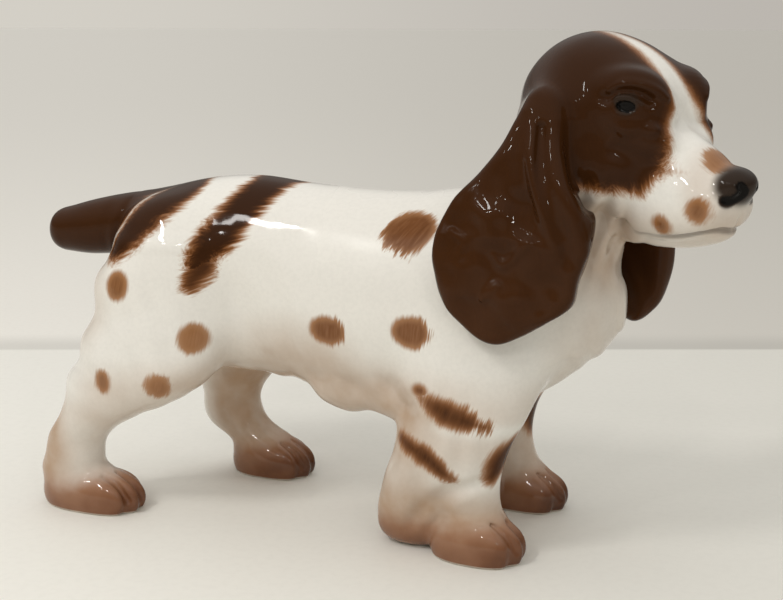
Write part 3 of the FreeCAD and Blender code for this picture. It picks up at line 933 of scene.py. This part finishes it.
def paint_head(points, outward):
    """The face is brown except for the blaze, the muzzle and the throat, and the muzzle has spots of its own."""
    own, facing = head.own(points), outward @ head.axes
    white = np.minimum(WHITE_FACE[0].distance(own), WHITE_FACE[1].distance(own))
    white = np.minimum(white, own[:, 2] + 17.5)
    edge, ragged, depth, place = painted(FACE_PAINT, own, facing)
    brown = -white < edge
    low_cheek = np.clip(-own[:, 2] / 10, 0, 1)
    edge = np.where(brown, -white, edge)
    ragged = np.where(brown, 0.5 + 0.7 * low_cheek, ragged)
    depth = np.where(brown, 1.0, depth)
    middle = np.array([18.0, 0, -8])
    run = np.tile(np.array([0.45, 0, -0.89]), (len(own), 1))
    place[brown] = (middle + brush_place(own - middle, facing, run))[brown]
    return edge, ragged, depth, place


def paint_ear(points, outward):
    run = np.tile(np.array(EAR_RUN) / np.linalg.norm(EAR_RUN), (len(points), 1))
    middle = np.array([42.0, -31.0, 90.0])
    ones = np.ones(len(points))
    deep = 0.90 + 0.06 * np.clip((points[:, 2] - 80) / 25, -1, 1)
    return -20 * ones, ones, deep, middle + brush_place(points - middle, outward, run)


# %% [markdown]
# ## Sprayed colour
#
# After the brush comes the airbrush: a pink-beige blush, which is also painted shade under the belly, jaw and throat
# and on the far legs, and red-brown on the paws. The black of nose, nostrils and eyes is dabbed in. Sprayed edges are
# soft, so each one is a distance turned into a gentle fall.

# %% Washes
def fade(distance, reach):
    """1 inside, falling smoothly to 0 at `reach` outside."""
    t = np.clip(1 - distance / reach, 0, 1)
    return t * t * (3 - 2 * t)


# Each blush is a shape, a strength and a reach. They are partly the figurine's airbrushed pink-beige and partly painted
# shade: under the belly and neck, low on the legs and over the far legs.
BLUSH_AND_SHADE = [
    (ball((-4, -8, 38), (36, 18, 5)), 0.7, 15),
    (ball((-22, -24, 50), (12, 6, 5)), 0.45, 12),
    (ball((-46, 23, 30), (16, 12, 30)), 0.9, 10),
    (ball((-102, -20, 20), (8, 12, 16)), 0.95, 10),
    (ball((-84, -20, 22), (12, 12, 10)), 0.3, 10),
    (ball((20, -20, 7), (22, 12, 7)), 0.92, 12),
    (ball((12, -20, 30), (6, 9, 12)), 0.4, 10),
    (ball((36, 22, 24), (12, 10, 18)), 0.7, 10),
    (ball((58, -8, 92), (12, 18, 12)), 0.65, 12),
    (ball((62, 4, 60), (8, 20, 16)), 0.3, 14),
    (ball((-60, -26, 36), (16, 8, 5)), 0.4, 10),
    (ball((-86, -16, 66), (6, 12, 12)), 0.35, 12),
    (ball((-84, 0, 72), (8, 16, 9)), 0.5, 10),
]
PAWS = [(33.0, -19, 12.5, 0.9), (36.5, 22, 12.5, 1.0), (-84.5, -19.5, 15.5, 0.85), (-46, 23.5, 13.5, 1.0)]


def wash_body(points):
    """Sprayed colour: x is blush and painted shade, y the red-brown of the paws, z the black."""
    blush_and_shade = np.zeros(len(points))
    for shape, strength, reach in BLUSH_AND_SHADE:
        blush_and_shade = 1 - (1 - blush_and_shade) * (1 - strength * fade(shape.distance(points), reach))
    toes = np.zeros(len(points))
    for x, y, toe, strength in PAWS:
        forward = np.clip((points[:, 0] - x + 14) / (toe + 14), 0, 1)
        near = fade(np.hypot(0.6 * (points[:, 0] - x + 6), points[:, 1] - y) - 17, 4)
        height = points[:, 2] - 1 - 3 * forward**2
        toes = np.maximum(toes, strength * near * fade(height, 16) * (0.66 + 0.34 * forward**2))
    hock = worm([(-104, -20, 6, 2), (-106, -20, 18, 2), (-104, -20, 30, 1)]).distance(points)
    toes = np.maximum(toes, 0.5 * fade(hock, 9))
    return np.stack([blush_and_shade, toes, np.zeros(len(points))], 1)


def wash_head(points):
    own = head.own(points)
    mirror = own * (1, 0, 1) + np.abs(own) * (0, 1, 0)
    # Painted shade under the jaw and down the throat; the patch on top of the muzzle is the figurine's own pink-brown.
    blush_and_shade = 0.35 * fade(own[:, 2] + 24, 8) + 0.35 * fade(ball((37, 0, -13), (7, 10, 9)).distance(own), 6)
    blush_and_shade = np.clip(blush_and_shade + 0.4 * fade(ball((0, 10, -26), (10, 12, 6)).distance(mirror), 12), 0, 1)
    mouth = 0.4 * fade(worm(MOUTH).distance(mirror) - 0.1, 1.1)
    nose = fade(ball((40.8, 0, -12.0), (4.2, 7.2, 3.2)).distance(own), 3.6)
    nostril = fade(worm(NOSTRIL).distance(mirror) - 0.5, 1.5)
    eye = fade(ball(EYE, (3.0, 3.0, 2.5)).distance(mirror) - 0.4, 0.6)
    lids = 0.66 * fade(np.minimum(worm(UPPER_LID).distance(mirror), worm(LOWER_LID).distance(mirror)), 0.9)
    ink = np.max([mouth, 0.8 * nose, nostril, eye, lids], axis=0)
    return np.stack([blush_and_shade, np.zeros(len(own)), ink], 1)


def wash_ear(points):
    return np.zeros((len(points), 3))


# %% [markdown]
# ## Glaze
#
# One function builds all three finishes. It draws noise along the bristles to break the edges of the paint, turns
# depth into brown through a ramp, lays the washes over the porcelain, the blush with its painted shade among them, and
# leaves the ground rim of the soles unglazed. Clear glaze is a smooth dielectric, with a trace of ripple as bump and a
# little variation in gloss.

# %% Glaze
def node(tree, kind, **settings):
    made = tree.nodes.new(kind)
    for name, value in settings.items():
        setattr(made, name, value)
    return made


def calculate(tree, operation, a, b=0.0, clamp=False):
    made = node(tree, "ShaderNodeMath", operation=operation, use_clamp=clamp)
    for socket, value in zip(made.inputs, (a, b)):
        if isinstance(value, (int, float)):
            socket.default_value = value
        else:
            tree.links.new(value, socket)
    return made.outputs[0]


def ramp_between(tree, value, low, high, to_low=0.0, to_high=1.0):
    """A smooth step of `value` from low to high."""
    made = node(tree, "ShaderNodeMapRange", interpolation_type="SMOOTHSTEP")
    tree.links.new(value, made.inputs["Value"])
    for name, number in (("From Min", low), ("From Max", high), ("To Min", to_low), ("To Max", to_high)):
        made.inputs[name].default_value = number
    return made.outputs["Result"]


def blended(tree, factor, a, b):
    """a + factor (b - a), for single numbers."""
    made = node(tree, "ShaderNodeMix", data_type="FLOAT")
    for socket, value in zip((made.inputs["Factor"], made.inputs["A"], made.inputs["B"]), (factor, a, b)):
        tree.links.new(value, socket)
    return made.outputs["Result"]


def noise(tree, vector, scale, detail, roughness=0.5):
    made = node(tree, "ShaderNodeTexNoise")
    tree.links.new(vector, made.inputs["Vector"])
    made.inputs["Scale"].default_value = scale
    made.inputs["Detail"].default_value = detail
    made.inputs["Roughness"].default_value = roughness
    return made.outputs["Fac"]


def mixed(tree, factor, a, b, kind="MIX"):
    made = node(tree, "ShaderNodeMix", data_type="RGBA", blend_type=kind)
    for socket, value in zip((made.inputs["Factor"], made.inputs["A"], made.inputs["B"]), (factor, a, b)):
        if isinstance(value, (int, float)):
            socket.default_value = value
        elif isinstance(value, tuple):
            socket.default_value = value
        else:
            tree.links.new(value, socket)
    return made.outputs["Result"]


def ramp(tree, value, stops):
    made = node(tree, "ShaderNodeValToRGB")
    tree.links.new(value, made.inputs["Fac"])
    elements = made.color_ramp.elements
    while len(elements) < len(stops):
        elements.new(0.5)
    for element, (place, colour) in zip(elements, stops):
        element.position = place
        element.color = (*colour, 1)
    return made.outputs["Color"]


PORCELAIN = (0.80, 0.775, 0.72, 1)
PAINT = [
    (0.0, (0.42, 0.24, 0.13)), (0.25, (0.31, 0.145, 0.060)), (0.5, (0.165, 0.062, 0.020)),
    (0.75, (0.066, 0.0235, 0.0072)), (1.0, (0.036, 0.0128, 0.0040)),
]


def glaze(name, roughness):
    """Porcelain under paint under clear glaze: every colour comes from the painted attributes."""
    material = bpy.data.materials.new(name)
    material.use_nodes = True
    tree = material.node_tree
    shader = tree.nodes["Principled BSDF"]
    paint = node(tree, "ShaderNodeSeparateXYZ")
    tree.links.new(node(tree, "ShaderNodeAttribute", attribute_name="paint").outputs["Vector"], paint.inputs[0])
    edge, ragged, depth = paint.outputs
    bristle = node(tree, "ShaderNodeAttribute", attribute_name="bristle").outputs["Vector"]
    wash = node(tree, "ShaderNodeSeparateXYZ")
    tree.links.new(node(tree, "ShaderNodeAttribute", attribute_name="wash").outputs["Vector"], wash.inputs[0])
    blush_and_shade, toes, ink = wash.outputs
    place = node(tree, "ShaderNodeTexCoord").outputs["Object"]
    spot = node(tree, "ShaderNodeSeparateXYZ")
    tree.links.new(place, spot.inputs[0])

    broad = noise(tree, bristle, 0.30, 2.0)
    fine = noise(tree, bristle, 1.5, 2.0, 0.6)
    wander = calculate(tree, "MULTIPLY", calculate(tree, "SUBTRACT", fine, 0.5), 2.3)
    wander = calculate(tree, "ADD", wander, calculate(tree, "MULTIPLY", calculate(tree, "SUBTRACT", broad, 0.5), 2.0))
    rough_edge = calculate(tree, "ADD", edge, calculate(tree, "MULTIPLY", wander, ragged))
    strong = ramp_between(tree, depth, 0.5, 0.95)
    soft_cover = ramp_between(tree, rough_edge, -1.3, 1.1, 1.0, 0.0)
    crisp_cover = ramp_between(tree, rough_edge, -0.9, 0.9, 1.0, 0.0)
    cover = blended(tree, strong, crisp_cover, soft_cover)
    slow = ramp_between(tree, rough_edge, -4.0, 0.8, 1.0, 0.0)
    quick = ramp_between(tree, rough_edge, -2.6, 0.7, 1.0, 0.18)
    loose = ramp_between(tree, depth, 0.6, 0.95, 0.75, 0.06)
    streak = calculate(tree, "MULTIPLY", calculate(tree, "SUBTRACT", fine, 0.5), loose)
    cloud = noise(tree, place, 60.0, 2.0)
    cloud = calculate(tree, "MULTIPLY", calculate(tree, "SUBTRACT", cloud, 0.5), 0.10)
    tone = calculate(tree, "MULTIPLY", blended(tree, strong, quick, slow), depth)
    drift = calculate(tree, "MULTIPLY", calculate(tree, "ADD", streak, cloud), depth)
    tone = calculate(tree, "ADD", tone, drift, clamp=True)
    brown = ramp(tree, tone, PAINT)

    speck = noise(tree, place, 900.0, 3.0)
    body = mixed(tree, ramp_between(tree, speck, 0.35, 0.7), PORCELAIN, tuple(0.965 * c for c in PORCELAIN[:3]) + (1,))
    mottle = noise(tree, place, 110.0, 3.0)
    # The blush colour is both pink-beige tint and painted shade under the belly, jaw and neck and on the far legs.
    soft_blush_and_shade = calculate(tree, "MULTIPLY", blush_and_shade, ramp_between(tree, mottle, 0.2, 0.8, 0.75, 1.1), clamp=True)
    body = mixed(tree, soft_blush_and_shade, body, (0.43, 0.285, 0.18, 1))
    toe_amount = calculate(tree, "MULTIPLY", toes, ramp_between(tree, mottle, 0.2, 0.8, 0.8, 1.12), clamp=True)
    toe_stops = [
        (0.0, (0.48, 0.32, 0.22)), (0.35, (0.32, 0.168, 0.096)), (0.7, (0.19, 0.078, 0.036)), (1.0, (0.082, 0.028, 0.011)),
    ]
    body = mixed(tree, ramp_between(tree, toe_amount, 0.0, 0.45), body, ramp(tree, toe_amount, toe_stops))
    colour = mixed(tree, cover, body, brown)
    black = mixed(tree, ramp_between(tree, ink, 0.78, 1.0), (0.030, 0.0190, 0.0130, 1), (0.0055, 0.0045, 0.0040, 1))
    colour = mixed(tree, ramp_between(tree, ink, 0.0, 0.8), colour, black)
    biscuit = ramp_between(tree, spot.outputs["Z"], 0.0003, 0.0009, 1.0, 0.0)
    colour = mixed(tree, biscuit, colour, (0.66, 0.59, 0.50, 1))
    tree.links.new(colour, shader.inputs["Base Color"])

    haze = noise(tree, place, 45.0, 2.0)
    gloss = ramp_between(tree, haze, 0.3, 0.7, roughness * 0.7, roughness * 1.3)
    shader.inputs["IOR"].default_value = 1.5
    dark = calculate(tree, "MULTIPLY", cover, ramp_between(tree, tone, 0.1, 0.8))
    dark = calculate(tree, "MAXIMUM", dark, ink)
    sheen = ramp_between(tree, dark, 0.0, 1.0, 0.36, 0.09)
    shoulder = calculate(tree, "MULTIPLY", ramp_between(tree, spot.outputs["X"], -0.013, -0.004),
                         ramp_between(tree, spot.outputs["Z"], 0.074, 0.080))
    shoulder = calculate(tree, "MULTIPLY", shoulder, ramp_between(tree, spot.outputs["X"], 0.036, 0.044, 1.0, 0.0))
    shoulder = calculate(tree, "MULTIPLY", shoulder, ramp_between(tree, spot.outputs["Z"], 0.100, 0.106, 1.0, 0.0))
    thin = calculate(tree, "MULTIPLY", shoulder, ramp_between(tree, noise(tree, place, 90.0, 1.0), 0.3, 0.7, 1.0, 0.7))
    sheen = calculate(tree, "MULTIPLY", sheen, ramp_between(tree, thin, 0.0, 1.0, 1.0, 0.3))
    gloss = calculate(tree, "ADD", gloss, calculate(tree, "MULTIPLY", thin, 0.3))
    gloss = calculate(tree, "MAXIMUM", gloss, calculate(tree, "MULTIPLY", biscuit, 0.8))
    tree.links.new(gloss, shader.inputs["Roughness"])
    tree.links.new(sheen, shader.inputs["Specular IOR Level"])
    ripple = noise(tree, place, 190.0, 1.0)
    bump = node(tree, "ShaderNodeBump")
    bump.inputs["Strength"].default_value = 0.25
    bump.inputs["Distance"].default_value = 0.0002
    tree.links.new(ripple, bump.inputs["Height"])
    tree.links.new(bump.outputs["Normal"], shader.inputs["Normal"])
    return material


GLAZES = {
    "glaze_white": glaze("glaze_white", 0.05),
    "glaze_face": glaze("glaze_face", 0.05),
    "glaze_brown": glaze("glaze_brown", 0.045),
}


# %% [markdown]
# ## The pieces themselves
#
# Every piece gets its triangles, the paint numbers and its normals: the soft ones of the surface outside, and flat
# ones on the joint faces. It replaces the casting of the same name and rides on the only body there is.

# %% Nine pieces
def make_piece(name, cast_node, slot, painter, washer):
    """A mesh from the piece's triangles, with the field's own normals outside and flat ones on the joint."""
    triangles, flat = pieces[cast_node]
    used, local = np.unique(triangles, return_inverse=True)
    local = local.reshape(-1, 3)
    own, outward = clay.points[used], clay.normals[used]
    mesh = bpy.data.meshes.new(name)
    mesh.from_pydata(to_metres(own).tolist(), [], local.tolist())
    mesh.polygons.foreach_set("use_smooth", np.ones(len(local), bool))
    side = np.cross(own[local[:, 1]] - own[local[:, 0]], own[local[:, 2]] - own[local[:, 0]])
    side /= np.maximum(np.linalg.norm(side, axis=1, keepdims=True), 1e-12)
    corner = np.where(flat[:, None, None], side[:, None, :], outward[local])
    mesh.normals_split_custom_set(corner.reshape(-1, 3).tolist())
    edge, ragged, depth, place = painter(own, outward)
    for label, values in (("paint", np.stack([edge, ragged, depth], 1)), ("bristle", place), ("wash", washer(own))):
        mesh.attributes.new(label, "FLOAT_VECTOR", "POINT").data.foreach_set("vector", values.astype(np.float32).ravel())
    mesh.materials.append(GLAZES[slot])
    piece = bpy.data.objects.new(name, mesh)
    bpy.context.collection.objects.link(piece)
    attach(piece, "root")
    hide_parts(cast_node)
    print(name, len(mesh.polygons), "triangles")
    return piece


make_piece("glazed_torso", "torso", "glaze_white", paint_body, wash_body)
for leg in ("fore_leg_right", "fore_leg_left", "hind_leg_right", "hind_leg_left"):
    make_piece("glazed_" + leg, leg, "glaze_white", paint_body, wash_body)
make_piece("glazed_tail", "tail", "glaze_brown", paint_body, wash_body)
make_piece("glazed_head", "head", "glaze_face", paint_head, wash_head)
make_piece("glazed_ear_right", "ear_right", "glaze_brown", paint_ear, wash_ear)
make_piece("glazed_ear_left", "ear_left", "glaze_brown", paint_ear, wash_ear)

# %% [markdown]
# ## Camera
#
# A long lens a third of a metre away, a little above the figure, looking at its middle.

# %% Camera
AIM = to_metres((1.4, 0, 64.5))
AZIMUTH, ELEVATION, DISTANCE = 18.7, 12.6, 0.35


def direction(azimuth, elevation):
    """Unit vector; azimuth 0 looks along -y, and grows towards +x."""
    azimuth, elevation = math.radians(azimuth), math.radians(elevation)
    return Vector((
        math.sin(azimuth) * math.cos(elevation), -math.cos(azimuth) * math.cos(elevation), math.sin(elevation)
    ))


def aimed(name, data, location, towards):
    made = bpy.data.objects.new(name, data)
    made.location = location
    made.rotation_mode = "QUATERNION"
    made.rotation_quaternion = (Vector(location) - Vector(towards)).to_track_quat("Z", "Y")
    bpy.context.collection.objects.link(made)
    return made


camera = aimed("camera", bpy.data.cameras.new("camera"), Vector(AIM) + direction(AZIMUTH, ELEVATION) * DISTANCE, AIM)
camera.data.lens = 57.47
camera.data.sensor_width = 36.0
camera.data.clip_start = 0.01
bpy.context.scene.camera = camera
bpy.context.scene.view_settings.view_transform = "Standard"

# %% [markdown]
# ## Shelf and wall
#
# The figurine stands on a pale board, and behind its back edge begins a wall. One flat sheet carries both tones,
# with a thin painted shadow line where they change, and both are painted lighter on the left and darker on the right,
# as the light falls. An upright wall would keep the daylight off the far side, and this way the figure is lit the
# same from all around.

# %% Shelf
floor_mesh = bpy.data.meshes.new("shelf")
floor_mesh.from_pydata([(-20, -20, 0), (20, -20, 0), (20, 20, 0), (-20, 20, 0)], [], [(0, 1, 2, 3)])
shelf = bpy.data.objects.new("shelf", floor_mesh)
bpy.context.collection.objects.link(shelf)
material = bpy.data.materials.new("shelf")
material.use_nodes = True
tree = material.node_tree
shader = tree.nodes["Principled BSDF"]
place = node(tree, "ShaderNodeTexCoord").outputs["Object"]
spin = node(tree, "ShaderNodeMapping", vector_type="POINT")
spin.inputs["Rotation"].default_value = (0, 0, -math.radians(AZIMUTH))
tree.links.new(place, spin.inputs["Vector"])
lanes = node(tree, "ShaderNodeSeparateXYZ")
tree.links.new(spin.outputs["Vector"], lanes.inputs[0])
across, away = lanes.outputs["X"], lanes.outputs["Y"]
BACK_EDGE = 0.190
# The wall's tone is painted lighter on the left and darker on the right: painted light.
WALL_LIT, WALL_SHADED = (0.88, 0.855, 0.80, 1), (0.66, 0.635, 0.585, 1)
grain = noise(tree, place, 420.0, 4.0)
# Painted light: the board is lighter on the left and darker on the right.
board_tone_and_light = mixed(tree, ramp_between(tree, across, -0.16, 0.2), (0.86, 0.845, 0.79, 1), (0.76, 0.745, 0.69, 1))
bearing = calculate(tree, "DIVIDE", across, calculate(tree, "MAXIMUM", calculate(tree, "ADD", away, 0.342), 0.3))
wall_tone_and_light = mixed(tree, ramp_between(tree, bearing, -0.33, 0.33), WALL_LIT, WALL_SHADED)
# A thin painted shadow line along the board's back edge.
edge_shadow_line = calculate(tree, "MULTIPLY", ramp_between(tree, away, BACK_EDGE - 0.003, BACK_EDGE + 0.001),
                      ramp_between(tree, away, BACK_EDGE + 0.004, BACK_EDGE + 0.03, 1.0, 0.0))
tone = mixed(tree, ramp_between(tree, away, BACK_EDGE - 0.001, BACK_EDGE + 0.001), board_tone_and_light, wall_tone_and_light)
tone = mixed(tree, calculate(tree, "MULTIPLY", edge_shadow_line, 0.35), tone, (0.40, 0.39, 0.36, 1))
tone = mixed(tree, calculate(tree, "MULTIPLY", ramp_between(tree, grain, 0.4, 0.7), 0.06), tone, (0.55, 0.53, 0.49, 1))
tree.links.new(tone, shader.inputs["Base Color"])
shader.inputs["Roughness"].default_value = 0.55
shader.inputs["Specular IOR Level"].default_value = 0.2
floor_mesh.materials.append(material)

# %% [markdown]
# ## Light
#
# Soft daylight comes from all around, brighter above. A window gives the long highlight on the back, and a few small
# lamps give the sparks that make a glaze look wet.

# %% Room
world = bpy.data.worlds.new("room")
world.use_nodes = True
tree = world.node_tree
background = tree.nodes["Background"]
turn = node(tree, "ShaderNodeMapping", vector_type="POINT")
turn.inputs["Rotation"].default_value = (0, 0, -math.radians(AZIMUTH))
tree.links.new(node(tree, "ShaderNodeTexCoord").outputs["Generated"], turn.inputs["Vector"])
way = node(tree, "ShaderNodeSeparateXYZ")
tree.links.new(turn.outputs["Vector"], way.inputs[0])
horizon = mixed(tree, ramp_between(tree, way.outputs["X"], -0.31, 0.31), (0.655, 0.625, 0.565, 1), (0.50, 0.47, 0.43, 1))
sky = ramp(tree, way.outputs["Z"], [
    (0.0, (0.26, 0.25, 0.235)), (0.22, (0.24, 0.235, 0.22)), (0.6, (0.78, 0.765, 0.735)), (1.0, (1.0, 0.985, 0.95)),
])
tree.links.new(mixed(tree, ramp_between(tree, way.outputs["Z"], 0.020, 0.060), horizon, sky), background.inputs["Color"])
background.inputs["Strength"].default_value = 1.0
bpy.context.scene.world = world


def strip_light(name, first, last, width, energy, distance=0.9, colour=(1.0, 0.98, 0.95)):
    """A rectangular light whose long side runs from one direction in the sky to another."""
    a, b = direction(*first) * distance, direction(*last) * distance
    data = bpy.data.lights.new(name, "AREA")
    data.shape = "RECTANGLE"
    data.size, data.size_y = (b - a).length, width
    data.energy = energy
    data.color = colour
    made = bpy.data.objects.new(name, data)
    middle = Vector(AIM) + (a + b) / 2
    z = (a + b).normalized()
    x = (b - a).normalized()
    y = z.cross(x)
    made.matrix_world = Matrix.LocRotScale(middle, Matrix((x, y, z)).transposed(), None)
    bpy.context.collection.objects.link(made)
    return made


strip_light("window", (-27, 43), (-40, 51), 0.04, 1.6)
for number, (azimuth, elevation) in enumerate([(-44, 37), (-21, 36), (-4, 33), (14, 34), (38, 21)]):
    strip_light(f"lamp_{number}", (azimuth - 1.1, elevation), (azimuth + 1.1, elevation - 0.8), 0.026, 0.28)
